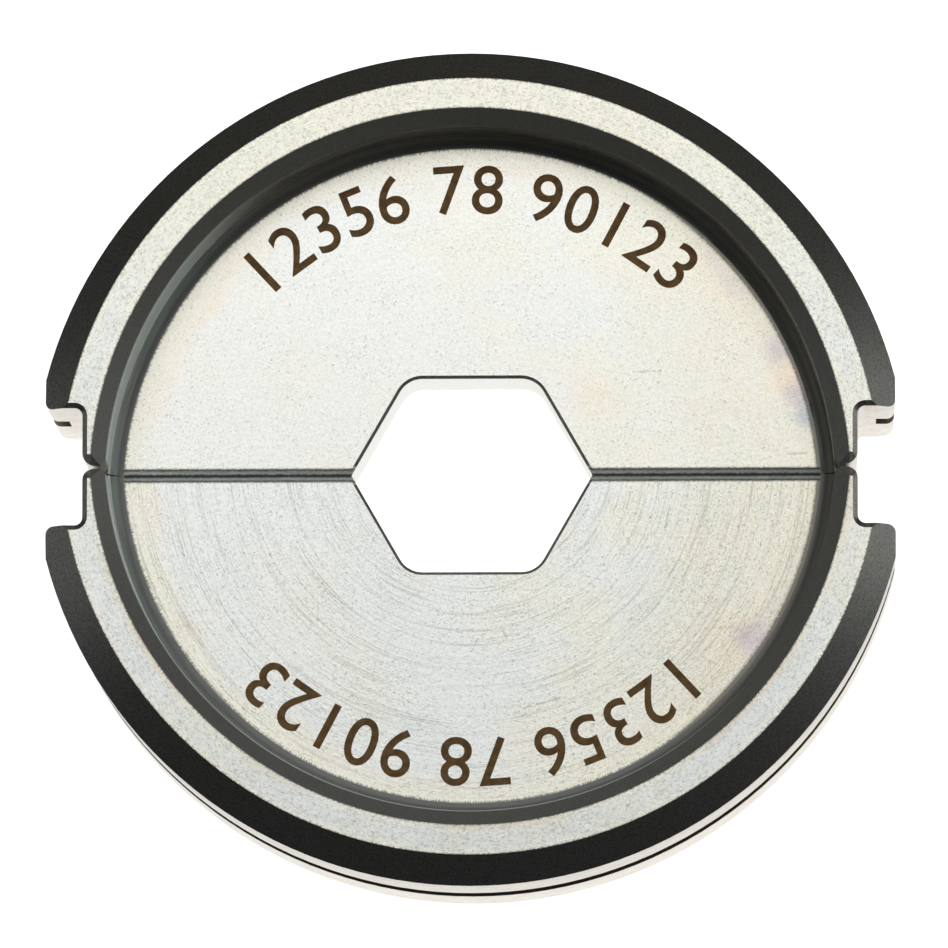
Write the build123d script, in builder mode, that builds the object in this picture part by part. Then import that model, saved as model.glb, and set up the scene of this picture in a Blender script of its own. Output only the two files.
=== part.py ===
"""A closed pair of crimping-die halves, in millimetres.

Two identical half-round dies lie on their rims and meet at the plane Y = 0.
Z runs through their thickness and X along the parting line. The origin is under
the centre of the pair, on the surface that it lies on.
"""

import os

from build123d import *

# Turned blank
THICKNESS = 14.0
ARC_RADIUS = 22.0
HALF_HEIGHT = 21.0
OUTER_CHAMFER = 1.45
RING_WIDTH = 1.5
INNER_CHAMFER = 0.77
WEB_THICKNESS = 5.0
FLOOR_FILLET = 0.7

# Retaining groove round the outside
GROOVE_WIDTH = 2.2
GROOVE_DEPTH = 1.25

# Plan outline: flats cut from the arc at the sides, and notches at both ends of the parting line
FLAT_DEPTH = 0.7
NOTCH_HEIGHT = 2.95
NOTCH_LAND = 0.35
NOTCH_ROOT_RADIUS = 0.4
FLAT_CORNER_RADIUS = 0.4
END_CORNER_RADIUS = 0.6
OUTLINE_BREAK = 0.25

# Crimping hexagon, half of it in each die
HEX_ACROSS_CORNERS = 12.14
HEX_DEPTH = 4.9
HEX_CORNER_RADIUS = 1.3
HEX_FLANK_ANGLE = 60
HEX_BREAK = 0.15

# Edges of the parting face
RIM_END_CHAMFER = 0.6
WALL_END_BREAK = 0.35
WEB_END_BREAK = 0.3

ARC_CENTRE_Y = HALF_HEIGHT - ARC_RADIUS
RING_OUTER_RADIUS = ARC_RADIUS - OUTER_CHAMFER
RING_INNER_RADIUS = RING_OUTER_RADIUS - RING_WIDTH
RECESS_RADIUS = RING_INNER_RADIUS - INNER_CHAMFER
FLOOR_RADIUS = RECESS_RADIUS - FLOOR_FILLET
GROOVE_RADIUS = ARC_RADIUS - GROOVE_DEPTH
FLAT_X = ARC_RADIUS - FLAT_DEPTH
NOTCH_X = RING_INNER_RADIUS + NOTCH_LAND
MID_HEIGHT = THICKNESS / 2
WEB_TOP = MID_HEIGHT + WEB_THICKNESS / 2
WALL_END_X = (RECESS_RADIUS**2 - ARC_CENTRE_Y**2) ** 0.5
FLOOR_END_X = (FLOOR_RADIUS**2 - ARC_CENTRE_Y**2) ** 0.5
RIM_END_Y = ARC_CENTRE_Y * (1 - NOTCH_X / FLOOR_END_X)
SECTION_PLANE = Plane((0, ARC_CENTRE_Y, MID_HEIGHT), x_dir=(1, 0, 0), z_dir=(0, -1, 0))
TURNING_AXIS = Axis((0, ARC_CENTRE_Y, 0), (0, 0, 1))


with BuildPart() as upper_die_half:
    # Milled outline, as a prism with its edges broken at both faces
    with BuildSketch() as outline:
        with BuildLine():
            Polyline(
                (0, 0),
                (FLOOR_END_X, 0),
                (NOTCH_X, RIM_END_Y),
                (NOTCH_X, NOTCH_HEIGHT),
                (FLAT_X, NOTCH_HEIGHT),
                (FLAT_X, ARC_RADIUS),
                (0, ARC_RADIUS),
            )
            mirror(about=Plane.YZ)
        make_face()
        fillet(outline.vertices().group_by(Axis.Y)[1], END_CORNER_RADIUS)
        fillet(outline.vertices().group_by(Axis.Y)[-2].sort_by(Axis.X)[1:-1], NOTCH_ROOT_RADIUS)
        fillet(outline.vertices().group_by(Axis.Y)[-2].sort_by(Axis.X)[::3], FLAT_CORNER_RADIUS)
    extrude(amount=THICKNESS)
    chamfer(faces().filter_by(Plane.XY).edges(), OUTLINE_BREAK)

    # Turned form: chamfered rim, ring faces, a recess on each side of the web, outer groove
    with BuildSketch(SECTION_PLANE):
        with BuildLine() as section:
            Polyline(
                (0, 0),
                (0, WEB_THICKNESS / 2),
                (RECESS_RADIUS, WEB_THICKNESS / 2),
                (RECESS_RADIUS, MID_HEIGHT - INNER_CHAMFER),
                (RING_INNER_RADIUS, MID_HEIGHT),
                (RING_OUTER_RADIUS, MID_HEIGHT),
                (ARC_RADIUS, MID_HEIGHT - OUTER_CHAMFER),
                (ARC_RADIUS, GROOVE_WIDTH / 2),
                (GROOVE_RADIUS, GROOVE_WIDTH / 2),
                (GROOVE_RADIUS, 0),
            )
            floor_corner = section.vertices().sort_by_distance((RECESS_RADIUS, WEB_THICKNESS / 2))[0]
            fillet(floor_corner, FLOOR_FILLET)
            mirror(about=Plane.XZ)
        make_face()
    revolve(axis=TURNING_AXIS, mode=Mode.INTERSECT)

    # Chamfers across the ends of the rim, at the parting face
    with BuildSketch(Plane.YZ) as side:
        with Locations((ARC_RADIUS / 2, MID_HEIGHT)):
            Rectangle(ARC_RADIUS, THICKNESS)
        chamfer(side.vertices().group_by(Axis.X)[0], RIM_END_CHAMFER)
    extrude(amount=FLAT_X, both=True, mode=Mode.INTERSECT)

    # Half of the crimping hexagon, cut through the web
    with BuildSketch() as crimp_profile:
        with Locations((0, HEX_DEPTH / 2)):
            Trapezoid(HEX_ACROSS_CORNERS, HEX_DEPTH, HEX_FLANK_ANGLE)
        fillet(crimp_profile.vertices().group_by(Axis.Y)[-1], HEX_CORNER_RADIUS)
    extrude(amount=THICKNESS, mode=Mode.SUBTRACT)
    web_sides = faces().filter_by(Plane.XY).sort_by(Face.area)[-2:]
    crimp_edges = web_sides.edges().filter_by(lambda edge: 0 < edge.center().Y <= HEX_DEPTH)
    chamfer(crimp_edges, HEX_BREAK)

    # Broken edges of the parting face, along both sides of the web
    with BuildSketch(Plane.YZ):
        with BuildLine():
            Polyline(
                (0, WEB_TOP - WEB_END_BREAK),
                (2 * WEB_END_BREAK, WEB_TOP + WEB_END_BREAK),
                (0, WEB_TOP + WEB_END_BREAK),
                close=True,
            )
        make_face()
        mirror(about=Plane.XZ.offset(-MID_HEIGHT))
    extrude(amount=FLOOR_END_X, both=True, mode=Mode.SUBTRACT)

    # Broken edges of the parting face, up the walls of the recesses
    with BuildSketch(Plane.XY.offset(WEB_TOP + FLOOR_FILLET)):
        with BuildLine():
            Polyline(
                (WALL_END_X + WALL_END_BREAK, 0),
                (WALL_END_X - WALL_END_BREAK, 2 * WALL_END_BREAK),
                (WALL_END_X - WALL_END_BREAK, 0),
                close=True,
            )
        make_face()
        mirror(about=Plane.YZ)
    wall_breaks = extrude(amount=THICKNESS - WEB_TOP - FLOOR_FILLET, mode=Mode.SUBTRACT)
    mirror(wall_breaks, about=Plane.XY.offset(MID_HEIGHT), mode=Mode.SUBTRACT)

# The same die again, turned about the crimping axis
with BuildPart() as lower_die_half:
    add(upper_die_half.part, rotation=(0, 0, 180))

upper_die_half.part.label = "upper_die_half"
lower_die_half.part.label = "lower_die_half"

os.makedirs("parts", exist_ok=True)
export_step(upper_die_half.part, "parts/upper_die_half.step")
export_step(lower_die_half.part, "parts/lower_die_half.step")
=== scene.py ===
"""Looks of a closed pair of half-round crimping dies, zinc plated and laser marked.

The two die halves come from model.glb. This script dresses them in plated steel,
adds their marking, and sets the table, the lights and the camera. Lengths are in
metres, and the crimping axis stands upright through the origin.
"""

import logging
import math
from dataclasses import dataclass, field
from enum import Enum

import bmesh
import bpy
from mathutils import Matrix, Vector


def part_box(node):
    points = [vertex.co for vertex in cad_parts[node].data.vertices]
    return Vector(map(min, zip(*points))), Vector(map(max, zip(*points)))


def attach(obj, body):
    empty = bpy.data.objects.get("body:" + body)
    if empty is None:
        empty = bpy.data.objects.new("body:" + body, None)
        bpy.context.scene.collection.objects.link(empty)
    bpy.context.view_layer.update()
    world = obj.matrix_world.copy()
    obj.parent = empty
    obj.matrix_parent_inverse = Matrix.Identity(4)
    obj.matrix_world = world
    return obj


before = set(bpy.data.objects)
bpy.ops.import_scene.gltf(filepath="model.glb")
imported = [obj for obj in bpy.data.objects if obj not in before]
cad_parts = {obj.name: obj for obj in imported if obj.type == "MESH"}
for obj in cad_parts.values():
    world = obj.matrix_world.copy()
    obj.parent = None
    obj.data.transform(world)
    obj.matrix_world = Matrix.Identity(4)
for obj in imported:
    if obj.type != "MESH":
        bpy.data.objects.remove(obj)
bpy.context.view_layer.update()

LOG = logging.getLogger("crimping_die")
MM = 0.001
BODY = "root"

Colour = tuple[float, float, float, float]
Value = bpy.types.NodeSocket | float


class Half(Enum):
    """The two die halves, by the names of their nodes."""

    UPPER = "upper_die_half"
    LOWER = "lower_die_half"

    @property
    def turn(self) -> float:
        """How far the half is turned about the crimping axis."""
        return 0.0 if self is Half.UPPER else math.pi


@dataclass(frozen=True)
class DieSizes:
    """Sizes of the dies that the finishes and the marking line up with.

    Attributes:
        centre_drop: How far a half's arc centre lies beyond the parting plane.
        ring_outer: Radius at which the ring meets the outer chamfer.
        ring_inner: Radius at which the ring meets the inner chamfer.
        wall: Radius of the recess's wall.
        floor: Radius at which the web's face meets the fillet below the wall.
        chamfer_foot: Height of the inner chamfer's lower edge, from the middle of the thickness.
        coat_foot: Heights, from there too, between which the wall's coat gives way to the fillet's.
        web_thickness: Thickness of the web between the two recesses.
    """

    centre_drop: float = 1.0 * MM
    ring_outer: float = 20.55 * MM
    ring_inner: float = 19.05 * MM
    wall: float = 18.28 * MM
    floor: float = 17.58 * MM
    chamfer_foot: float = 6.23 * MM
    coat_foot: tuple[float, float] = (2.88 * MM, 3.04 * MM)
    web_thickness: float = 5.0 * MM

    @property
    def thickness(self) -> float:
        """Thickness of the pair, from model.glb."""
        low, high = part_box(Half.UPPER.value)
        return high.z - low.z

    @property
    def web_top(self) -> float:
        """Height of the web's front face."""
        return (self.thickness + self.web_thickness) / 2


@dataclass(frozen=True)
class Pattern:
    """Noise that is ramped to a mask.

    Attributes:
        scale: Its features in each unit of the vector it is read at, which is a metre on most.
        low: The noise where the mask starts.
        high: The noise where the mask is full.
        detail: Its number of octaves.
        rough: How strong the finer octaves are.
    """

    scale: float
    low: float
    high: float
    detail: float = 2.0
    rough: float = 0.5


CLOUDS = Pattern(150.0, 0.44, 0.62, 4.0, 0.6)
BLOTCHES = Pattern(900.0, 0.2, 0.7, 5.0, 0.75)
BROWNING = Pattern(110.0, 0.42, 0.62)
PINKS = Pattern(900.0, 0.4, 0.58, 3.0)
MOTTLE = Pattern(1500.0, 0.1, 0.7, 5.0, 0.8)
FILMS = Pattern(240.0, 0.36, 0.56, 3.0, 0.6)
GRAIN = Pattern(9500.0, 0.4, 0.7, 2.0, 0.7)
COAT = Pattern(4800.0, 0.5, 0.66, 3.0, 0.8)
CROWDS = Pattern(420.0, 0.3, 0.62)
FINE_SPECKS = Pattern(8600.0, 0.6, 0.72, 1.0, 0.6)
COARSE_SPECKS = Pattern(4200.0, 0.68, 0.75, 1.0, 0.7)
DIRT = Pattern(7800.0, 0.54, 0.68, 2.0, 0.6)
MILL_SCALE = Pattern(2600.0, 0.56, 0.68, 4.0, 0.8)
TURNING_LINES = Pattern(1.0, 0.5, 0.7, 2.0, 0.6)
TURNING_DASHES = Pattern(1.3, 0.56, 0.72, 1.0, 0.6)
SWATHS = Pattern(900.0, 0.1, 0.55)
WEAR = Pattern(170.0, 0.1, 0.5)
SMEARS = Pattern(1100.0, 0.35, 0.7, 4.0, 0.7)
CHATTER = Pattern(1.0, 0.3, 0.65, 3.0, 0.6)
OXIDE = Pattern(2400.0, 0.35, 0.65, 3.0)

TRACKS_PER_METRE = 13000.0
LONG_MARKS_PER_RADIAN = 2.4
SHORT_MARKS_PER_RADIAN = 48.0
CHATTER_PER_METRE = 5200.0
CHATTER_PER_RADIAN = 4.0
TEARS_PER_METRE = 1500.0
TEARS_PER_RADIAN = 330.0


class NodeKit:
    """Short ways to add and join the nodes of one material."""

    def __init__(self, name: str) -> None:
        """Starts a material with an empty tree.

        Args:
            name: Name of the material.
        """
        self.material = bpy.data.materials.new(name)
        self.material.use_nodes = True
        self.tree = self.material.node_tree
        self.tree.nodes.clear()

    def add(self, kind: str, **settings: object) -> bpy.types.Node:
        """Adds a node.

        Args:
            kind: Type name of the node.
            **settings: Attributes of the node to set.

        Returns:
            The new node.
        """
        node = self.tree.nodes.new(kind)
        for key, value in settings.items():
            setattr(node, key, value)
        return node

    def put(self, socket: bpy.types.NodeSocket, value: object) -> None:
        """Links a socket or sets its value.

        Args:
            socket: The input to feed.
            value: An output socket, or a number or tuple.
        """
        if isinstance(value, bpy.types.NodeSocket):
            self.tree.links.new(value, socket)
        else:
            socket.default_value = value

    def math(self, operation: str, *values: Value, clamp: bool = False) -> bpy.types.NodeSocket:
        """Adds a math node.

        Args:
            operation: The node's operation.
            *values: Its inputs, as sockets or numbers.
            clamp: Whether the result is kept between 0 and 1.

        Returns:
            The result's socket.
        """
        node = self.add("ShaderNodeMath", operation=operation, use_clamp=clamp)
        for socket, value in zip(node.inputs, values):
            self.put(socket, value)
        return node.outputs[0]

    def product(self, *values: Value) -> Value:
        """Multiplies several values.

        Args:
            *values: The values, as sockets or numbers.

        Returns:
            Their product.
        """
        result = values[0]
        for value in values[1:]:
            result = self.math("MULTIPLY", result, value)
        return result

    def vector(self, operation: str, a: object, b: object, output: int = 0) -> bpy.types.NodeSocket:
        """Adds a vector math node.

        Args:
            operation: The node's operation.
            a: Its first vector.
            b: Its second vector.
            output: Which of its outputs: 0 is the vector, 1 the number.

        Returns:
            The result's socket.
        """
        node = self.add("ShaderNodeVectorMath", operation=operation)
        self.put(node.inputs[0], a)
        self.put(node.inputs[1], b)
        return node.outputs[output]

    def join(self, x: Value, y: Value, z: Value = 0.0) -> bpy.types.NodeSocket:
        """Joins three numbers to a vector.

        Args:
            x: The first.
            y: The second.
            z: The third.

        Returns:
            The vector.
        """
        node = self.add("ShaderNodeCombineXYZ")
        for socket, value in zip(node.inputs, (x, y, z)):
            self.put(socket, value)
        return node.outputs[0]

    def split(self, vector: bpy.types.NodeSocket) -> list[bpy.types.NodeSocket]:
        """Splits a vector.

        Args:
            vector: The vector.

        Returns:
            Its three numbers.
        """
        node = self.add("ShaderNodeSeparateXYZ")
        self.put(node.inputs[0], vector)
        return list(node.outputs)

    def noise(self, vector: object, scale: float, detail: float, rough: float) -> bpy.types.NodeSocket:
        """Adds a noise texture.

        Args:
            vector: Where it is read.
            scale: Its scale, in features for each unit of the vector.
            detail: Its number of octaves.
            rough: How strong the finer octaves are.

        Returns:
            The noise, mostly between 0.3 and 0.7.
        """
        node = self.add("ShaderNodeTexNoise")
        self.put(node.inputs["Vector"], vector)
        self.put(node.inputs["Scale"], scale)
        self.put(node.inputs["Detail"], detail)
        self.put(node.inputs["Roughness"], rough)
        return node.outputs["Fac"]

    def step(self, value: Value, low: float, high: float) -> bpy.types.NodeSocket:
        """Ramps smoothly from 0 to 1.

        Args:
            value: The value to ramp.
            low: Where the result is 0.
            high: Where the result is 1; below low, the ramp falls.

        Returns:
            The ramped value.
        """
        node = self.add("ShaderNodeMapRange", interpolation_type="SMOOTHSTEP")
        falling = high < low
        self.put(node.inputs["Value"], value)
        self.put(node.inputs["From Min"], high if falling else low)
        self.put(node.inputs["From Max"], low if falling else high)
        self.put(node.inputs["To Min"], 1.0 if falling else 0.0)
        self.put(node.inputs["To Max"], 0.0 if falling else 1.0)
        return node.outputs["Result"]

    def bell(self, value: Value, centre: float, reach: float) -> bpy.types.NodeSocket:
        """Gives 1 at the centre, fading to 0 a reach away on both sides.

        Args:
            value: The value.
            centre: Where the result is 1.
            reach: How far off the result is 0.

        Returns:
            The bell's socket.
        """
        away = self.math("ABSOLUTE", self.math("SUBTRACT", value, centre))
        return self.step(away, reach, 0.0)

    def mask(self, vector: object, pattern: Pattern) -> bpy.types.NodeSocket:
        """Adds a pattern as a mask.

        Args:
            vector: Where it is read.
            pattern: The pattern.

        Returns:
            The mask, from 0 to 1.
        """
        noise = self.noise(vector, pattern.scale, pattern.detail, pattern.rough)
        return self.step(noise, pattern.low, pattern.high)

    def sway(
        self, vector: object, scale: float, reach: float, detail: float = 3.0, rough: float = 0.5
    ) -> bpy.types.NodeSocket:
        """Adds a distance that sways around 0.

        Args:
            vector: Where it is read.
            scale: Its scale, in features for each unit of the vector.
            reach: The distance from the noise's 0 to its 1.
            detail: Its number of octaves.
            rough: How strong the finer octaves are.

        Returns:
            The distance.
        """
        noise = self.noise(vector, scale, detail, rough)
        return self.math("MULTIPLY", self.math("SUBTRACT", noise, 0.5), reach)

    def mix(self, factor: Value, a: object, b: object) -> bpy.types.NodeSocket:
        """Mixes two colours.

        Args:
            factor: How much of the second shows.
            a: The first colour.
            b: The second colour.

        Returns:
            The mixed colour.
        """
        node = self.add("ShaderNodeMix", data_type="RGBA")
        self.put(node.inputs["Factor"], factor)
        self.put(node.inputs["A"], a)
        self.put(node.inputs["B"], b)
        return node.outputs["Result"]

    def ramp(self, value: Value, stops: tuple[tuple[float, Colour], ...]) -> bpy.types.NodeSocket:
        """Adds a colour ramp.

        Args:
            value: What is looked up, from 0 to 1.
            stops: Places and their colours, in order.

        Returns:
            The colour.
        """
        node = self.add("ShaderNodeValToRGB")
        elements = node.color_ramp.elements
        while len(elements) < len(stops):
            elements.new(1.0)
        for element, (place, colour) in zip(elements, stops):
            element.position = place
            element.color = colour
        self.put(node.inputs["Fac"], value)
        return node.outputs["Color"]

    def finish(self, shader: bpy.types.Node) -> bpy.types.Material:
        """Joins the shader to the material's output.

        Args:
            shader: The shader.

        Returns:
            The material.
        """
        out = self.add("ShaderNodeOutputMaterial")
        self.put(out.inputs["Surface"], shader.outputs[0])
        return self.material


@dataclass(frozen=True)
class Scratch:
    """A scratch or scuff on the web, between two points on its face.

    Attributes:
        start: One end, from the crimping axis.
        end: The other end.
        width: Half its width.
        depth: How dark it is, from 0 to 1.
    """

    start: tuple[float, float]
    end: tuple[float, float]
    width: float
    depth: float


@dataclass(frozen=True)
class Blush:
    """A patch of heat tint on the web.

    Attributes:
        place: Its middle, from the crimping axis.
        reach: How far it reaches.
        tint: Its colour.
        strength: How strongly it shows, from 0 to 1.
    """

    place: tuple[float, float]
    reach: float
    tint: Colour
    strength: float = 0.6


@dataclass(frozen=True)
class Tints:
    """Colours of zinc plating, of what discolours it, and of the shade and light painted on it.

    Attributes:
        bright: Clean plating.
        cream: Yellowed plating.
        straw: Strongly yellowed plating.
        tan: Browned plating along the ring's inner border.
        olive: Dirt against the web's edge.
        peach: Light heat tint.
        rose: Pinkish plating on the faces round the outside.
        violet: Heat tint past the peach.
        slate: Bluish heat tint.
        pit: Specks and scratches.
        dark_marks_and_shade: Dark edges and marks, and the painted shade on chamfers, walls and fillets.
        mist: Greyer patches of the ring.
        wall_painted_light: Painted light on the lit side of the recess's wall, a dull light coat.
        burr_and_highlight: Dull light coat on the broken edges along the parting face, and the painted
            highlight on the inner chamfer's lower edge.
        fillet_painted_light: Painted light on the dull coat in the fillet below the wall, where it catches
            light.
        fillet_painted_shade: Painted shade on the fillet's coat where it lies in shade.
    """

    bright: Colour
    cream: Colour = (0.90, 0.87, 0.74, 1.0)
    straw: Colour = (0.70, 0.65, 0.42, 1.0)
    tan: Colour = (0.68, 0.57, 0.44, 1.0)
    olive: Colour = (0.34, 0.30, 0.18, 1.0)
    peach: Colour = (0.94, 0.80, 0.64, 1.0)
    rose: Colour = (0.86, 0.72, 0.68, 1.0)
    violet: Colour = (0.62, 0.54, 0.60, 1.0)
    slate: Colour = (0.52, 0.56, 0.62, 1.0)
    pit: Colour = (0.20, 0.21, 0.15, 1.0)
    dark_marks_and_shade: Colour = (0.10, 0.10, 0.09, 1.0)
    mist: Colour = (0.62, 0.66, 0.62, 1.0)
    wall_painted_light: Colour = (0.88, 1.00, 0.94, 1.0)
    burr_and_highlight: Colour = (0.95, 1.0, 0.96, 1.0)
    fillet_painted_light: Colour = (0.31, 0.35, 0.33, 1.0)
    fillet_painted_shade: Colour = (0.19, 0.185, 0.165, 1.0)


@dataclass
class Zones:
    """Where a shaded point lies on a die half, as node sockets.

    Attributes:
        spot: Its place, moved by the finish's seed.
        x: Its distance right of the crimping axis.
        y: Its distance above the parting plane.
        radius: Its distance from the half's turning axis.
        angle: Its angle about that axis, from the right.
        height: Its distance from the middle of the thickness.
        flat: 1 on faces square to the crimping axis.
        upright: 1 on faces along the crimping axis.
        bent: 1 on chamfers and on the middle of fillets.
        ring: 1 at the height of the ring faces.
        web: 1 at the height of the web's faces and below.
        outside: 1 on the notches and the faces round the outside.
        recess: 1 on the inner chamfer, the wall below it and its fillet.
        wall: 1 on the recess's wall and the top of its fillet.
        hollow: 1 on the rest of the fillet.
        stale: 1 on the right of the web.
        seam: 1 on the broken edges of the parting face, along the web.
    """

    spot: bpy.types.NodeSocket
    x: bpy.types.NodeSocket
    y: bpy.types.NodeSocket
    radius: bpy.types.NodeSocket
    angle: bpy.types.NodeSocket
    height: bpy.types.NodeSocket
    flat: bpy.types.NodeSocket
    upright: bpy.types.NodeSocket
    bent: bpy.types.NodeSocket
    ring: bpy.types.NodeSocket
    web: bpy.types.NodeSocket
    outside: bpy.types.NodeSocket
    recess: bpy.types.NodeSocket
    wall: bpy.types.NodeSocket
    hollow: bpy.types.NodeSocket
    stale: bpy.types.NodeSocket
    seam: bpy.types.NodeSocket

    @classmethod
    def read(cls, kit: NodeKit, sizes: DieSizes, seed: float) -> "Zones":
        """Reads the zones from the object's own coordinates.

        Args:
            kit: Nodes of the material.
            sizes: Sizes of the dies.
            seed: Offset of the patterns.

        Returns:
            The zones.
        """
        coordinates = kit.add("ShaderNodeTexCoord")
        x, y, z = kit.split(coordinates.outputs["Object"])
        side = kit.math("ADD", kit.math("ABSOLUTE", y), sizes.centre_drop)
        middle = sizes.thickness / 2
        height = kit.math("ABSOLUTE", kit.math("SUBTRACT", z, middle))
        tilt = kit.math("ABSOLUTE", kit.split(coordinates.outputs["Normal"])[2])
        flat = kit.step(tilt, 0.93, 0.99)
        upright = kit.step(tilt, 0.5, 0.2)
        bent = kit.math("SUBTRACT", kit.math("SUBTRACT", 1.0, flat), upright, clamp=True)
        ring = kit.step(height, middle * 0.6, middle * 0.85)
        web = kit.math("SUBTRACT", 1.0, ring)
        radius = kit.vector("LENGTH", kit.join(x, side), (0.0, 0.0, 0.0), output=1)
        within = kit.step(radius, sizes.ring_inner + 0.03 * MM, sizes.ring_inner - 0.03 * MM)
        recess = kit.product(within, kit.step(radius, sizes.floor, sizes.floor + 0.03 * MM))
        coated = kit.step(height, *sizes.coat_foot)
        below_chamfer = kit.step(height, sizes.chamfer_foot + 0.07 * MM, sizes.chamfer_foot - 0.03 * MM)
        within_wall = kit.step(radius, sizes.wall + 0.08 * MM, sizes.wall + 0.04 * MM)
        right = kit.step(x, 5.0 * MM, 12.0 * MM)
        parting = kit.step(kit.math("ABSOLUTE", y), 0.5 * MM, 0.4 * MM)
        return cls(
            spot=kit.vector("ADD", coordinates.outputs["Object"], (seed, seed, seed)),
            x=x,
            y=y,
            radius=radius,
            angle=kit.math("ARCTAN2", side, x),
            height=height,
            flat=flat,
            upright=upright,
            bent=bent,
            ring=ring,
            web=web,
            outside=kit.product(upright, kit.step(radius, 15.0 * MM, 17.0 * MM)),
            recess=recess,
            wall=kit.product(recess, within_wall, coated, below_chamfer),
            hollow=kit.product(recess, kit.math("SUBTRACT", 1.0, coated)),
            stale=kit.product(right, kit.step(radius, 8.0 * MM, 13.0 * MM), web, flat),
            seam=kit.product(parting, web, bent, kit.math("SUBTRACT", 1.0, recess)),
        )


@dataclass(frozen=True)
class PlatedSteel:
    """Zinc plating on turned and milled steel, lightly tarnished, with shade painted on its chamfers and
    edges and light painted in its recess.

    Attributes:
        name: Name of the material.
        tints: Its colours.
        seed: Offset of the patterns, so that the halves differ.
        arcs: Strength of the turning marks on the web.
        speckle: Strength of the dark specks.
        mist: How much greyer the ring is than the web.
        film: Strength of the heat tints along the web's right edge.
        stale: Strength of the yellowing on the right of the web.
        lit: Angles where the recess's fillet turns from its dark to its light side, and painted shade gives
            way to painted light.
        tan: How brown the ring's inner border is.
        break_shade: How much shade is painted on the broken edge along the parting face.
        scratches: Scratches on the web.
        blushes: Patches of heat tint on the web.
        roughness: Roughness of the flat faces.
        corner_roughness: Roughness of chamfers, walls and fillets.
        bump: Strength of the plating's bumps.
        bump_height: Height of the bumps.
    """

    name: str
    tints: Tints
    seed: float
    arcs: float
    speckle: float
    mist: float
    film: float
    stale: float
    lit: tuple[float, float]
    tan: float
    break_shade: float
    scratches: tuple[Scratch, ...]
    blushes: tuple[Blush, ...]
    roughness: float = 0.3
    corner_roughness: float = 0.38
    bump: float = 0.5
    bump_height: float = 0.012 * MM

    def stain(self, kit: NodeKit, colour: object, tint: Colour, *masks: Value) -> bpy.types.NodeSocket:
        """Lays a tint over a colour where all the masks are 1.

        Args:
            kit: Nodes of the material.
            colour: The colour so far.
            tint: The tint.
            *masks: Masks and strengths, which are multiplied.

        Returns:
            The stained colour.
        """
        return kit.mix(kit.product(*masks), colour, tint)

    def patches(self, kit: NodeKit, zones: Zones, sizes: DieSizes) -> bpy.types.NodeSocket:
        """Makes the clouded colour of the plating.

        Args:
            kit: Nodes of the material.
            zones: Where the point lies.
            sizes: Sizes of the dies.

        Returns:
            The colour.
        """
        tints = self.tints
        right = kit.step(zones.x, -9.0 * MM, 9.0 * MM)
        clouds = kit.mask(zones.spot, CLOUDS)
        strength = kit.math("ADD", kit.math("MULTIPLY", right, 0.4), 0.25)
        colour = self.stain(kit, tints.bright, tints.cream, clouds, strength)
        top = kit.step(zones.y, 4.0 * MM, 19.0 * MM)
        colour = self.stain(kit, colour, tints.cream, top, zones.ring, 0.9)
        blotches = kit.mask(zones.spot, BLOTCHES)
        colour = self.stain(kit, colour, tints.mist, blotches, zones.ring, zones.flat, self.mist)

        edge = kit.math("SUBTRACT", sizes.floor, zones.radius)
        depth = kit.math("ADD", edge, kit.sway(zones.spot, 300.0, 2.4 * MM, 4.0))
        band = kit.step(depth, 1.5 * MM, 0.2 * MM)
        colour = self.stain(kit, colour, tints.cream, band, zones.web, zones.flat, 0.8)
        line = kit.bell(depth, 1.1 * MM, 0.8 * MM)
        browned = kit.mask(zones.spot, BROWNING)
        colour = self.stain(kit, colour, tints.peach, line, browned, zones.web, zones.flat, 0.4)
        colour = self.heat(kit, zones, colour, edge, depth)
        lip = kit.step(self.rim(kit, zones, sizes), 0.45 * MM, 0.1 * MM)
        colour = self.stain(kit, colour, tints.cream, lip, zones.ring, zones.flat, 0.5)
        inner = kit.step(zones.radius, sizes.ring_inner + 0.5 * MM, sizes.ring_inner)
        colour = self.stain(kit, colour, tints.tan, inner, browned, zones.ring, zones.flat, self.tan)

        pink = kit.mask(zones.spot, PINKS)
        colour = self.stain(kit, colour, tints.cream, zones.outside, 0.8)
        return self.stain(kit, colour, tints.rose, pink, zones.outside, 0.6)

    def heat(
        self,
        kit: NodeKit,
        zones: Zones,
        colour: bpy.types.NodeSocket,
        edge: bpy.types.NodeSocket,
        depth: bpy.types.NodeSocket,
    ) -> bpy.types.NodeSocket:
        """Adds the coloured films of heat or oil on the right of the web.

        Args:
            kit: Nodes of the material.
            zones: Where the point lies.
            colour: The colour so far.
            edge: Distance in from the web's edge.
            depth: The same distance, with a wandering line.

        Returns:
            The tinted colour.
        """
        tints = self.tints
        mottle = kit.mask(zones.spot, MOTTLE)
        colour = self.stain(kit, colour, tints.cream, mottle, zones.stale, 0.8)
        colour = self.stain(kit, colour, tints.straw, mottle, zones.stale, self.stale)
        film = kit.ramp(
            kit.math("DIVIDE", depth, 3.0 * MM),
            (
                (0.0, tints.peach),
                (0.12, tints.violet),
                (0.26, tints.violet),
                (0.4, tints.peach),
                (0.65, tints.cream),
                (1.0, tints.bright),
            ),
        )
        right = kit.step(zones.x, 8.5 * MM, 12.5 * MM)
        sweep = kit.bell(zones.angle, math.radians(30.0), math.radians(24.0))
        shown = kit.mask(zones.spot, FILMS)
        near = kit.step(edge, 3.0 * MM, 1.6 * MM)
        colour = kit.mix(kit.product(sweep, shown, near, zones.web, zones.flat, self.film), colour, film)
        dirt = kit.step(edge, 0.36 * MM, 0.1 * MM)
        colour = self.stain(kit, colour, tints.olive, dirt, right, zones.web, zones.flat, 0.45)
        face = kit.join(zones.x, zones.y)
        wander = kit.math("SUBTRACT", depth, edge)
        for blush in self.blushes:
            away = kit.vector("DISTANCE", face, (*blush.place, 0.0), output=1)
            spread = kit.step(kit.math("ADD", away, wander), blush.reach, 0.1 * MM)
            colour = self.stain(kit, colour, blush.tint, spread, zones.web, zones.flat, blush.strength)
        return colour

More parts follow.
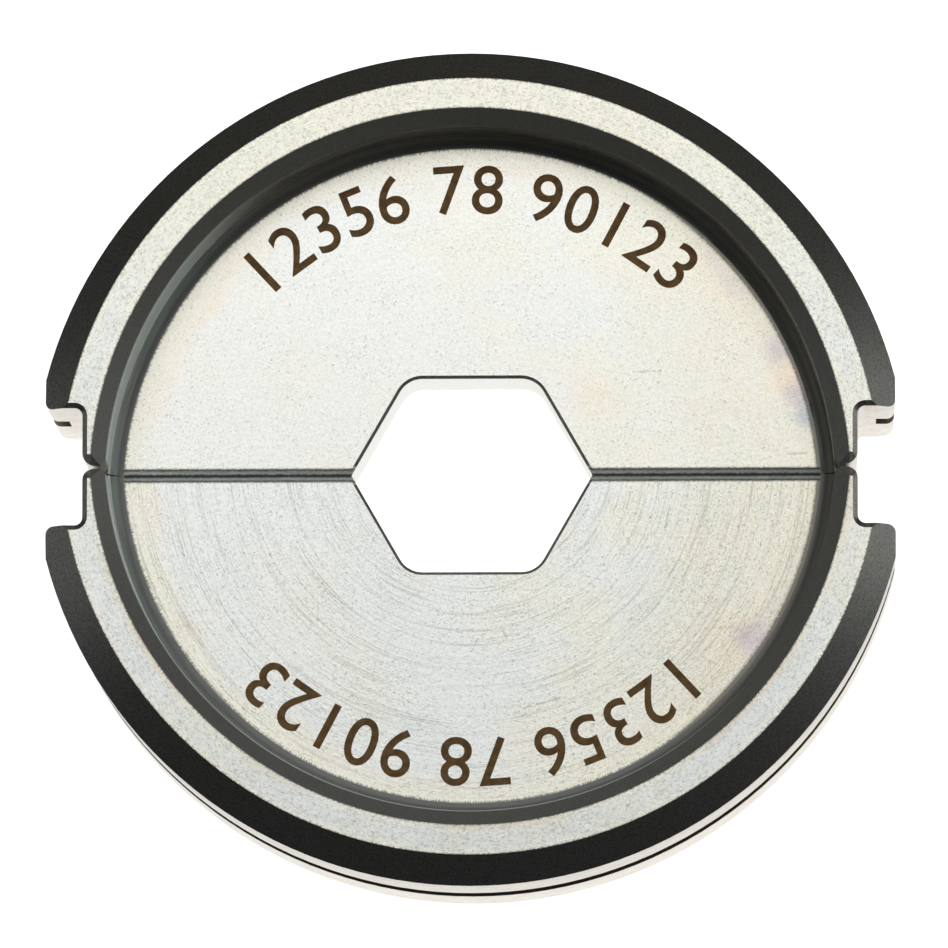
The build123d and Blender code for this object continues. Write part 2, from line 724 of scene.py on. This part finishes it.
    def marks(self, kit: NodeKit, zones: Zones, colour: bpy.types.NodeSocket) -> bpy.types.NodeSocket:
        """Adds grain, specks, turning marks and scratches.

        Args:
            kit: Nodes of the material.
            zones: Where the point lies.
            colour: The colour so far.

        Returns:
            The marked colour.
        """
        pit = self.tints.pit
        grain = kit.mask(zones.spot, GRAIN)
        colour = self.stain(kit, colour, pit, grain, 0.18)
        colour = self.stain(kit, colour, pit, grain, zones.bent, 0.45)
        coat = kit.mask(zones.spot, COAT)
        colour = self.stain(kit, colour, pit, coat, zones.ring, zones.flat, 0.3)
        crowd = kit.mask(zones.spot, CROWDS)
        fine = kit.mask(zones.spot, FINE_SPECKS)
        colour = self.stain(kit, colour, pit, fine, crowd, zones.flat, self.speckle)
        dirt = kit.mask(zones.spot, DIRT)
        colour = self.stain(kit, colour, pit, dirt, zones.stale, 1.4 * self.stale)
        coarse = kit.mask(zones.spot, COARSE_SPECKS)
        colour = self.stain(kit, colour, pit, coarse, zones.flat, 0.8 * self.speckle)

        scale = kit.mask(zones.spot, MILL_SCALE)
        colour = self.stain(kit, colour, pit, scale, zones.outside, 0.4)

        track = kit.math("MULTIPLY", zones.radius, TRACKS_PER_METRE)
        long_turn = kit.math("MULTIPLY", zones.angle, LONG_MARKS_PER_RADIAN)
        long_marks = kit.join(track, long_turn, self.seed)
        short_turn = kit.math("MULTIPLY", zones.angle, SHORT_MARKS_PER_RADIAN)
        short_marks = kit.join(track, short_turn, -self.seed)
        lines = kit.mask(long_marks, TURNING_LINES)
        dashes = kit.mask(short_marks, TURNING_DASHES)
        swath = kit.mask(kit.join(zones.radius, 0.0, self.seed), SWATHS)
        worn = kit.mask(zones.spot, WEAR)
        colour = self.stain(kit, colour, pit, lines, swath, worn, zones.web, zones.flat, 0.75 * self.arcs)
        colour = self.stain(kit, colour, pit, dashes, worn, zones.web, zones.flat, 0.9 * self.arcs)
        colour = self.stain(kit, colour, pit, dashes, zones.ring, zones.flat, 0.35)

        face = kit.join(zones.x, zones.y)
        sway = kit.sway(zones.spot, 2500.0, 0.25 * MM)
        for scratch in self.scratches:
            start = Vector((*scratch.start, 0.0))
            run = Vector((*scratch.end, 0.0)) - start
            offset = kit.vector("SUBTRACT", face, start)
            shadow = kit.vector("DOT_PRODUCT", offset, run, output=1)
            share = kit.math("DIVIDE", shadow, run.length_squared, clamp=True)
            nearest = kit.vector("MULTIPLY", kit.join(share, share), run)
            away = kit.vector("DISTANCE", offset, nearest, output=1)
            line = kit.step(kit.math("ADD", away, sway), scratch.width, 0.2 * scratch.width)
            colour = self.stain(kit, colour, pit, line, zones.web, zones.flat, scratch.depth)
        return colour

    def rim(self, kit: NodeKit, zones: Zones, sizes: DieSizes) -> bpy.types.NodeSocket:
        """Measures how far a point on the ring lies from the ring's nearer edge.

        Args:
            kit: Nodes of the material.
            zones: Where the point lies.
            sizes: Sizes of the dies.

        Returns:
            The distance.
        """
        return kit.math(
            "MINIMUM",
            kit.math("SUBTRACT", sizes.ring_outer, zones.radius),
            kit.math("SUBTRACT", zones.radius, sizes.ring_inner),
        )

    def corners(
        self, kit: NodeKit, zones: Zones, sizes: DieSizes, colour: bpy.types.NodeSocket
    ) -> bpy.types.NodeSocket:
        """Paints shade on chamfers and walls, and darkens the ragged borders of the flat faces.

        Args:
            kit: Nodes of the material.
            zones: Where the point lies.
            sizes: Sizes of the dies.
            colour: The colour so far.

        Returns:
            The finished colour.
        """
        dark_marks_and_shade = self.tints.dark_marks_and_shade
        nibble = kit.sway(zones.spot, 8000.0, 0.3 * MM, rough=0.7)
        on_ring = kit.step(kit.math("SUBTRACT", self.rim(kit, zones, sizes), nibble), 0.08 * MM, 0.0)
        colour = self.stain(kit, colour, dark_marks_and_shade, on_ring, zones.ring, zones.flat, 0.8)
        turned = kit.math("MULTIPLY", zones.angle, TEARS_PER_RADIAN)
        across = kit.math("MULTIPLY", zones.radius, TEARS_PER_METRE)
        tear = kit.sway(kit.join(turned, across), 1.0, 0.5 * MM, rough=0.7)
        creep = kit.math("MULTIPLY", kit.step(zones.x, 8.0 * MM, 13.0 * MM), 0.14 * MM)
        foot = kit.math("SUBTRACT", kit.math("SUBTRACT", sizes.floor, zones.radius), creep)
        on_web = kit.step(kit.math("SUBTRACT", foot, tear), 0.1 * MM, 0.0)
        colour = self.stain(kit, colour, dark_marks_and_shade, on_web, zones.web, zones.flat, 0.8)

        parting = kit.math("SUBTRACT", kit.math("ABSOLUTE", zones.y), kit.math("MULTIPLY", nibble, 0.6))
        off_seam = kit.math("SUBTRACT", 1.0, zones.seam)
        # Painted shade: the chamfers are darkened, more strongly near the crimping axis.
        colour = self.stain(kit, colour, dark_marks_and_shade, zones.bent, off_seam, 0.45)
        crimp = kit.step(zones.radius, 9.0 * MM, 8.5 * MM)
        colour = self.stain(kit, colour, dark_marks_and_shade, zones.bent, crimp, off_seam, 0.6)
        colour = self.stain(kit, colour, self.tints.burr_and_highlight, zones.seam)
        smear = kit.mask(kit.vector("MULTIPLY", zones.spot, (1.0, 5.0, 5.0)), SMEARS)
        colour = self.stain(kit, colour, dark_marks_and_shade, zones.seam, smear, 0.32)
        # Painted shade on the broken edge along the parting face, as strong as break_shade.
        colour = self.stain(kit, colour, dark_marks_and_shade, zones.seam, self.break_shade)
        colour = self.stain(kit, colour, dark_marks_and_shade, kit.step(parting, 0.12 * MM, 0.05 * MM), zones.seam, 0.95)
        brink = kit.product(kit.bell(parting, 0.3 * MM, 0.12 * MM), kit.math("SUBTRACT", 1.0, zones.recess))
        colour = self.stain(kit, colour, dark_marks_and_shade, brink, zones.web, kit.step(zones.upright, 0.5, 0.0), 0.92)
        return self.recess(kit, zones, sizes, colour)

    def recess(
        self, kit: NodeKit, zones: Zones, sizes: DieSizes, colour: bpy.types.NodeSocket
    ) -> bpy.types.NodeSocket:
        """Colours the chamfer, the wall and the fillet of the recess, painting shade on their unlit side,
        light on their lit side and a highlight along the chamfer's lower edge.

        Args:
            kit: Nodes of the material.
            zones: Where the point lies.
            sizes: Sizes of the dies.
            colour: The colour so far.

        Returns:
            The finished colour.
        """
        tints = self.tints
        turned = kit.math("MULTIPLY", zones.angle, CHATTER_PER_RADIAN)
        along = kit.join(turned, kit.math("MULTIPLY", zones.height, CHATTER_PER_METRE), self.seed)
        chatter = kit.mask(along, CHATTER)
        lit = kit.step(zones.angle, *self.lit)
        dim = kit.math("SUBTRACT", 1.0, lit)
        # Painted shade: the recess's wall is darkened, in chatter streaks, on its unlit side.
        colour = self.stain(kit, colour, tints.dark_marks_and_shade, chatter, dim, zones.recess, zones.upright, 0.75)
        # Painted light: a light coat on the wall's lit side only.
        colour = self.stain(kit, colour, tints.wall_painted_light, zones.wall, lit, 0.9)
        # Painted light and shade: the fillet gets a lit colour on its lit side and a shaded one elsewhere,
        # streaked by chatter.
        coat = kit.mix(lit, tints.fillet_painted_shade, tints.fillet_painted_light)
        streaks = kit.mix(kit.math("MULTIPLY", chatter, 0.4), coat, tints.dark_marks_and_shade)
        colour = kit.mix(kit.product(zones.hollow, 0.92), colour, streaks)
        face = sizes.web_thickness / 2
        # Painted shade at the fillet's foot, next to the web's face.
        low = kit.step(zones.height, face + 0.28 * MM, face)
        colour = self.stain(kit, colour, tints.dark_marks_and_shade, zones.hollow, low, 0.75)
        # Painted shade on the inner chamfer.
        bevel = kit.product(zones.recess, zones.ring, zones.bent)
        colour = self.stain(kit, colour, tints.dark_marks_and_shade, bevel, 0.82)
        # Painted highlight: a light line along the inner chamfer's lower edge, on the lit side.
        crest_highlight = kit.step(zones.radius, sizes.wall + 0.07 * MM, sizes.wall + 0.02 * MM)
        return self.stain(kit, colour, tints.burr_and_highlight, bevel, crest_highlight, lit, 0.5)

    def dullness(self, kit: NodeKit, zones: Zones) -> bpy.types.NodeSocket:
        """Finds where the plating is a matt coat instead of bare metal.

        Args:
            kit: Nodes of the material.
            zones: Where the point lies.

        Returns:
            How matt it is, from 0 to 1.
        """
        lit = kit.step(zones.angle, *self.lit)
        parts = (
            kit.product(zones.seam, 0.85),
            kit.product(zones.wall, lit, 0.85),
            kit.product(zones.hollow, 0.8),
            kit.product(zones.recess, zones.ring, zones.bent, 0.7),
        )
        total = parts[0]
        for part in parts[1:]:
            total = kit.math("ADD", total, part, clamp=True)
        return total

    def build(self, sizes: DieSizes) -> bpy.types.Material:
        """Makes the material.

        Args:
            sizes: Sizes of the dies.

        Returns:
            The material.
        """
        kit = NodeKit(self.name)
        zones = Zones.read(kit, sizes, self.seed)
        colour = self.patches(kit, zones, sizes)
        colour = self.marks(kit, zones, colour)
        colour = self.corners(kit, zones, sizes, colour)

        bump = kit.add("ShaderNodeBump")
        kit.put(bump.inputs["Strength"], self.bump)
        kit.put(bump.inputs["Distance"], self.bump_height)
        kit.put(bump.inputs["Height"], kit.noise(zones.spot, 4200.0, 4.0, 0.7))

        shader = kit.add("ShaderNodeBsdfPrincipled")
        kit.put(shader.inputs["Base Color"], colour)
        kit.put(shader.inputs["Metallic"], kit.math("SUBTRACT", 1.0, self.dullness(kit, zones)))
        sheen = kit.math("MULTIPLY", zones.flat, self.roughness - self.corner_roughness)
        kit.put(shader.inputs["Roughness"], kit.math("ADD", sheen, self.corner_roughness))
        kit.put(shader.inputs["Normal"], bump.outputs["Normal"])
        return kit.finish(shader)


@dataclass(frozen=True)
class LaserMark:
    """Brown oxide that a laser leaves on the plating.

    Attributes:
        name: Name of the material.
        core: Colour of the strokes.
        edge: Colour of their darker patches.
        roughness: Roughness of the oxide.
    """

    name: str = "laser_brown"
    core: Colour = (0.150, 0.092, 0.042, 1.0)
    edge: Colour = (0.105, 0.064, 0.030, 1.0)
    roughness: float = 0.5

    def build(self) -> bpy.types.Material:
        """Makes the material.

        Returns:
            The material.
        """
        kit = NodeKit(self.name)
        place = kit.add("ShaderNodeTexCoord").outputs["Object"]
        shade = kit.mask(place, OXIDE)
        shader = kit.add("ShaderNodeBsdfPrincipled")
        kit.put(shader.inputs["Base Color"], kit.mix(shade, self.edge, self.core))
        kit.put(shader.inputs["Metallic"], 1.0)
        kit.put(shader.inputs["Roughness"], self.roughness)
        return kit.finish(shader)


@dataclass
class Marking:
    """Plain numerals on an arc across the web of one die half.

    Attributes:
        groups: The numerals, in groups from left to right.
        radius: Radius of the arc through the middle of the numerals.
        first: Angle of the first numeral's middle.
        pitch: Angle from one numeral to the next in a group.
        gap: Angle from the end of one group to the start of the next.
        size: Size of the numerals' type.
        weight: How much each stroke is thickened on both sides.
        facets: Steps in each curved stretch of a numeral.
        stand: How far the oxide stands above the plating.
        depth: How deep it goes.
        weld: Points of the numerals that are nearer than this are joined.
    """

    groups: tuple[str, ...] = ("12356", "78", "90123")
    radius: float = 15.5 * MM
    first: float = math.radians(133.0)
    pitch: float = math.radians(7.0)
    gap: float = math.radians(11.0)
    size: float = 3.5 * MM
    weight: float = 0.02 * MM
    facets: int = 6
    stand: float = 0.01 * MM
    depth: float = 0.03 * MM
    weld: float = 0.0001 * MM

    def numeral(self, figure: str) -> bpy.types.Mesh:
        """Makes one numeral, upright and centred on the origin.

        Args:
            figure: The numeral.

        Returns:
            Its mesh, a thin closed solid.
        """
        curve = bpy.data.curves.new("numeral", "FONT")
        curve.body = figure
        curve.size = self.size
        curve.offset = self.weight
        curve.extrude = (self.stand + self.depth) / 2
        curve.resolution_u = self.facets
        holder = bpy.data.objects.new("numeral", curve)
        mesh = bpy.data.meshes.new_from_object(holder)
        bpy.data.objects.remove(holder)
        bpy.data.curves.remove(curve)
        across = [vertex.co.x for vertex in mesh.vertices]
        upward = [vertex.co.y for vertex in mesh.vertices]
        middle = Vector((min(across) + max(across), min(upward) + max(upward), 0.0)) / 2
        mesh.transform(Matrix.Translation(-middle))
        return mesh

    def angles(self) -> list[float]:
        """Works out each numeral's angle about the arc centre.

        Returns:
            The angles, from left to right.
        """
        angles = []
        angle = self.first
        for group in self.groups:
            angles += [angle - place * self.pitch for place in range(len(group))]
            angle = angles[-1] - self.gap
        return angles

    def build(self, half: Half, sizes: DieSizes, finish: bpy.types.Material) -> bpy.types.Object:
        """Lays the numerals on a die half.

        Args:
            half: Which half.
            sizes: Sizes of the dies.
            finish: Their material.

        Returns:
            The marking.
        """
        level = sizes.web_top + (self.stand - self.depth) / 2
        to_half = Matrix.Rotation(half.turn, 4, "Z") @ Matrix.Translation((0.0, -sizes.centre_drop, level))
        shape = bmesh.new()
        for figure, angle in zip("".join(self.groups), self.angles()):
            numeral = self.numeral(figure)
            lean = Matrix.Rotation(angle - math.pi / 2, 4, "Z")
            numeral.transform(to_half @ lean @ Matrix.Translation((0.0, self.radius, 0.0)))
            shape.from_mesh(numeral)
            bpy.data.meshes.remove(numeral)
        bmesh.ops.remove_doubles(shape, verts=shape.verts[:], dist=self.weld)
        bmesh.ops.recalc_face_normals(shape, faces=shape.faces[:])
        mesh = bpy.data.meshes.new(f"{half.value}_marking")
        shape.to_mesh(mesh)
        shape.free()
        mesh.materials.append(finish)
        marking = bpy.data.objects.new(mesh.name, mesh)
        bpy.context.scene.collection.objects.link(marking)
        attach(marking, BODY)
        return marking


@dataclass
class DieHalf:
    """One die half: its plating and its marking.

    Attributes:
        half: Which half.
        sizes: Sizes of the dies.
        plating: Its finish.
        marking: Its numerals.
        ink: Finish of the numerals.
    """

    half: Half
    sizes: DieSizes
    plating: PlatedSteel
    marking: Marking
    ink: bpy.types.Material

    def build(self) -> None:
        """Plates the half and marks it."""
        material = self.plating.build(self.sizes)
        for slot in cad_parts[self.half.value].material_slots:
            slot.material = material
        LOG.info("%s: %s", self.half.value, material.name)
        marking = self.marking.build(self.half, self.sizes, self.ink)
        LOG.info("%s: %d faces", marking.name, len(marking.data.polygons))


@dataclass(frozen=True)
class Softbox:
    """A rectangular light.

    Attributes:
        name: Its name.
        place: Its centre.
        size: Its width and height.
        radiance: How bright its face is, where 1 is a white surface.
    """

    name: str
    place: tuple[float, float, float]
    size: tuple[float, float]
    radiance: float


SOFTBOXES = (
    Softbox("overhead", (0.0, 0.44, 0.95), (1.2, 0.9), 1.44),
    Softbox("right", (0.9, 0.1, 0.12), (0.6, 0.3), 0.62),
    Softbox("left", (-0.9, 0.0, 0.12), (0.6, 0.3), 0.35),
    Softbox("fill", (0.85, 0.0, 0.5), (0.6, 0.4), 1.6),
)


@dataclass
class Studio:
    """Table, lights and camera.

    Attributes:
        eye: Where the camera stands.
        focus: The point that it aims at.
        roll: How far it is turned about its line of sight.
        sensor: Width of its sensor, in millimetres.
        lens: Its focal length, in millimetres.
        table_size: Side of the table.
        table_paint: How much light the table gives back.
        table_glow: How brightly it shines by itself.
        card_radius: Radius of the white card that the upright faces mirror.
        card_paint: How much light the card gives back.
        card_glow: How brightly it shines by itself.
        card_drop: How far it lies below the table's top.
        matt: Roughness of the table and the card.
        room: Brightness of the dark room.
        softboxes: The lights.
    """

    eye: Vector = field(default_factory=lambda: Vector((15.55, -71.54, 640.0)) * MM)
    focus: Vector = field(default_factory=lambda: Vector((0.22, -0.46, 14.0)) * MM)
    roll: float = -0.0005
    sensor: float = 36.0
    lens: float = 478.6
    table_size: float = 3.0
    table_paint: float = 0.9
    table_glow: float = 0.86
    card_radius: float = 32.0 * MM
    card_paint: float = 0.1
    card_glow: float = 1.0
    card_drop: float = 0.05 * MM
    matt: float = 0.9
    room: float = 0.026
    softboxes: tuple[Softbox, ...] = SOFTBOXES

    def sheet(self, name: str, shape: bmesh.types.BMesh, paint: float, glow: float) -> bpy.types.Object:
        """Makes a white stage piece.

        Args:
            name: Its name.
            shape: Its shape, which is used up.
            paint: How much light its surface gives back.
            glow: How brightly it shines by itself.

        Returns:
            The piece.
        """
        mesh = bpy.data.meshes.new(name)
        shape.to_mesh(mesh)
        shape.free()
        piece = bpy.data.objects.new(name, mesh)
        bpy.context.scene.collection.objects.link(piece)
        kit = NodeKit(f"{name}_white")
        shader = kit.add("ShaderNodeBsdfPrincipled")
        kit.put(shader.inputs["Base Color"], (paint, paint, paint, 1.0))
        kit.put(shader.inputs["Roughness"], self.matt)
        kit.put(shader.inputs["Emission Color"], (1.0, 1.0, 1.0, 1.0))
        kit.put(shader.inputs["Emission Strength"], glow)
        mesh.materials.append(kit.finish(shader))
        return piece

    def table(self) -> None:
        """Lays the pale table, and just below it the card, which only reflections show."""
        shape = bmesh.new()
        bmesh.ops.create_grid(shape, x_segments=1, y_segments=1, size=self.table_size / 2)
        self.sheet("table", shape, self.table_paint, self.table_glow).visible_glossy = False
        shape = bmesh.new()
        bmesh.ops.create_circle(shape, cap_ends=True, segments=64, radius=self.card_radius)
        bmesh.ops.translate(shape, verts=shape.verts[:], vec=(0.0, 0.0, -self.card_drop))
        card = self.sheet("card", shape, self.card_paint, self.card_glow)
        card.visible_camera = False
        card.visible_diffuse = False
        card.visible_shadow = False

    def hang(self, softbox: Softbox) -> None:
        """Hangs a softbox that faces the dies.

        Args:
            softbox: The softbox.
        """
        width, height = softbox.size
        data = bpy.data.lights.new(softbox.name, "AREA")
        data.shape = "RECTANGLE"
        data.size, data.size_y = width, height
        data.energy = softbox.radiance * math.pi * width * height
        light = bpy.data.objects.new(softbox.name, data)
        light.location = softbox.place
        light.rotation_euler = (self.focus - Vector(softbox.place)).to_track_quat("-Z", "Y").to_euler()
        bpy.context.scene.collection.objects.link(light)

    def world(self) -> None:
        """Sets a dark room, so that the chamfers mirror black."""
        world = bpy.data.worlds.new("room")
        world.use_nodes = True
        background = world.node_tree.nodes["Background"]
        background.inputs["Color"].default_value = (1.0, 1.0, 1.0, 1.0)
        background.inputs["Strength"].default_value = self.room
        bpy.context.scene.world = world

    def camera(self) -> None:
        """Sets the camera over the dies."""
        data = bpy.data.cameras.new("camera")
        data.sensor_width = self.sensor
        data.lens = self.lens
        camera = bpy.data.objects.new("camera", data)
        bpy.context.scene.collection.objects.link(camera)
        forward = (self.focus - self.eye).normalized()
        right = forward.cross(Vector((0.0, 1.0, 0.0))).normalized()
        up = right.cross(forward)
        aim = Matrix((right, up, -forward)).transposed().to_4x4()
        roll = Matrix.Rotation(self.roll, 4, "Z")
        camera.matrix_world = Matrix.Translation(self.eye) @ aim @ roll
        bpy.context.scene.camera = camera

    def build(self) -> None:
        """Sets up everything around the dies."""
        bpy.context.scene.view_settings.view_transform = "Standard"
        self.table()
        self.world()
        for softbox in self.softboxes:
            self.hang(softbox)
        self.camera()
        LOG.info("studio set")


def main() -> None:
    """Dresses the dies and sets the studio around them."""
    logging.basicConfig(level=logging.INFO, format="%(name)s %(message)s")
    sizes = DieSizes()
    ink = LaserMark().build()
    upper_plating = PlatedSteel(
        name="bright_zinc",
        tints=Tints(bright=(0.88, 0.89, 0.86, 1.0)),
        seed=0.13,
        arcs=0.06,
        speckle=0.38,
        mist=0.3,
        film=0.5,
        stale=0.12,
        lit=(math.radians(120.0), math.radians(145.0)),
        tan=0.1,
        break_shade=0.0,
        scratches=(
            Scratch((8.1 * MM, 5.2 * MM), (9.5 * MM, 5.25 * MM), 0.05 * MM, 0.35),
            Scratch((15.8 * MM, 1.0 * MM), (16.8 * MM, 1.05 * MM), 0.06 * MM, 0.3),
        ),
        blushes=(
            Blush((15.3 * MM, 6.3 * MM), 1.3 * MM, Tints.violet, 0.7),
            Blush((16.1 * MM, 5.0 * MM), 1.3 * MM, Tints.peach, 0.8),
            Blush((16.6 * MM, 3.7 * MM), 1.2 * MM, Tints.violet, 0.7),
            Blush((16.8 * MM, 2.8 * MM), 1.1 * MM, Tints.slate, 0.8),
            Blush((6.3 * MM, 4.0 * MM), 1.7 * MM, Tints.peach, 0.35),
        ),
    )
    lower_plating = PlatedSteel(
        name="grey_zinc",
        tints=Tints(bright=(0.86, 0.88, 0.86, 1.0)),
        seed=0.47,
        arcs=0.46,
        speckle=0.4,
        mist=0.36,
        film=0.3,
        stale=0.2,
        lit=(math.radians(35.0), math.radians(75.0)),
        tan=0.5,
        break_shade=0.38,
        scratches=(
            Scratch((10.2 * MM, -0.5 * MM), (9.7 * MM, -2.8 * MM), 0.03 * MM, 0.45),
            Scratch((4.4 * MM, -11.3 * MM), (2.6 * MM, -11.8 * MM), 0.06 * MM, 0.4),
            Scratch((0.3 * MM, -8.3 * MM), (0.0 * MM, -8.9 * MM), 0.05 * MM, 0.4),
        ),
        blushes=(
            Blush((12.6 * MM, -8.4 * MM), 2.2 * MM, Tints.peach, 0.4),
            Blush((14.1 * MM, -8.3 * MM), 1.5 * MM, Tints.violet, 0.6),
            Blush((4.0 * MM, -3.2 * MM), 1.5 * MM, Tints.peach, 0.25),
        ),
    )
    DieHalf(Half.UPPER, sizes, upper_plating, Marking(), ink).build()
    DieHalf(Half.LOWER, sizes, lower_plating, Marking(), ink).build()
    Studio().build()


if __name__ == "__main__":
    main()
